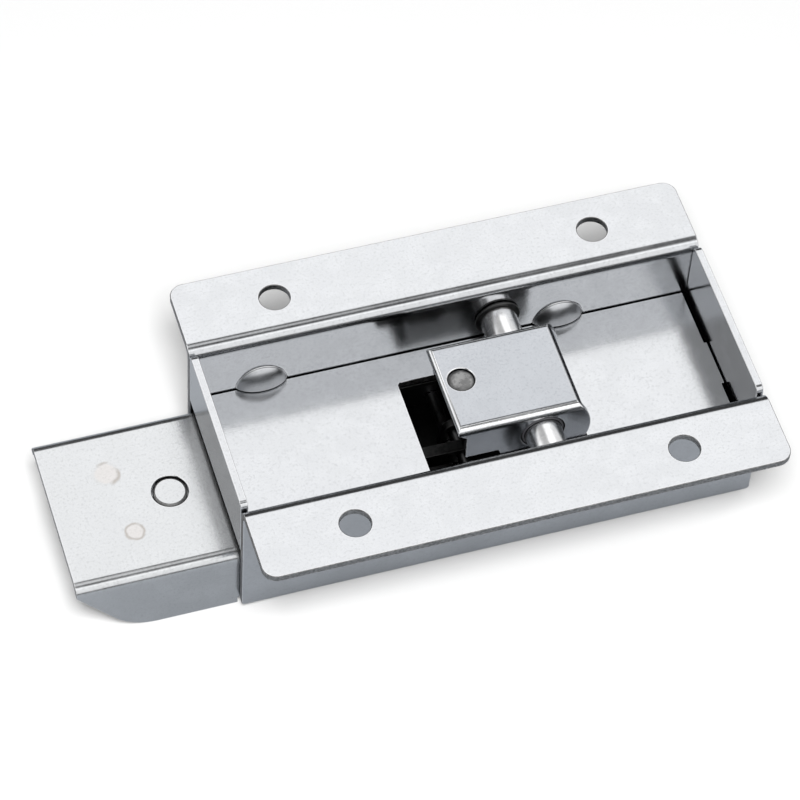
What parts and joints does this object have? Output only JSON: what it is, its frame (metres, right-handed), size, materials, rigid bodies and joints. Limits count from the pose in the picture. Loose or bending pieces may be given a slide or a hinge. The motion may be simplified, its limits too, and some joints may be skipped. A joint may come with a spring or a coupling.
{
  "type": "electric door strike",
  "caption": "Electric door strike: folded steel box with two drilled mounting flanges, a pivoting keeper with round cams, and a solenoid channel out of one end.",
  "frame": {"origin": "centre of the box's flat base, on its outer face", "axes": "+X along the box, away from the solenoid's end; +Z out of the open side, the way the flanges face; +Y across, from one flange to the other"},
  "size_m": [0.1658, 0.086, 0.04],
  "materials": {
    "bright_plate": "bright zinc-plated sheet steel",
    "satin_plate": "satin zinc-plated steel",
    "ground_steel": "turned and ground steel",
    "dark_steel": "dark oiled spring steel",
    "black_plastic": "black moulded plastic",
    "bobbin_plastic": "natural nylon",
    "copper_coil": "enamelled copper wire",
    "brass": "plain brass",
    "lead_red": "red wire insulation",
    "lead_black": "black wire insulation"
  },
  "bodies": {
    "box": {"housing": "bright_plate", "inner_tray": "bright_plate", "solenoid_carrier": "satin_plate", "pivot_pin": "ground_steel", "pin_clip_front": "dark_steel", "pin_clip_back": "dark_steel", "keeper_spring": "dark_steel", "pawl_pin": "ground_steel", "plunger_spring": "ground_steel", "solenoid_frame": "satin_plate", "fixed_core": "ground_steel", "coil_bobbin": "bobbin_plastic", "coil_winding": "copper_coil", "frame_rivet": "satin_plate", "terminal_block": "black_plastic", "terminal_screw_1": "brass", "terminal_screw_2": "brass", "coil_lead_1": "lead_red", "coil_lead_2": "lead_black", "carrier_screw_1": "ground_steel", "carrier_screw_2": "ground_steel", "carrier_screw_3": "ground_steel", "carrier_screw_4": "ground_steel"},
    "keeper_assembly": {"keeper": "bright_plate", "keeper_stud": "dark_steel", "keeper_bush_front": "black_plastic", "keeper_bush_back": "black_plastic", "stop_pin": "ground_steel"},
    "pawl": {"locking_pawl": "dark_steel"},
    "plunger_assembly": {"plunger": "ground_steel", "plunger_pin": "ground_steel", "spring_clip": "dark_steel", "pull_link": "dark_steel", "link_pin": "ground_steel"}
  },
  "joints": [
    {"name": "keeper_hinge", "type": "hinge", "parent": "box", "child": "keeper_assembly", "pos_m": [0.0128, 0, 0.0288], "axis": [0, 1, 0], "range_deg": [0, 50], "stiffness_Nm_per_rad": 0.05, "springref_deg": -22.92, "deforming": ["keeper_spring"]},
    {"name": "plunger_slide", "type": "slide", "parent": "box", "child": "plunger_assembly", "axis": [-1, 0, 0], "range_m": [0, 0.0018], "stiffness_N_per_m": 300, "springref_m": -0.004, "deforming": ["plunger_spring"]},
    {"name": "pawl_hinge", "type": "hinge", "parent": "box", "child": "pawl", "pos_m": [-0.003, 0, 0.005], "axis": [0, -1, 0], "range_deg": [0, 24]}
  ],
  "couplings": [
    {"joint": "pawl_hinge", "follows": "plunger_slide", "rad_per_m": 229.2}
  ]
}
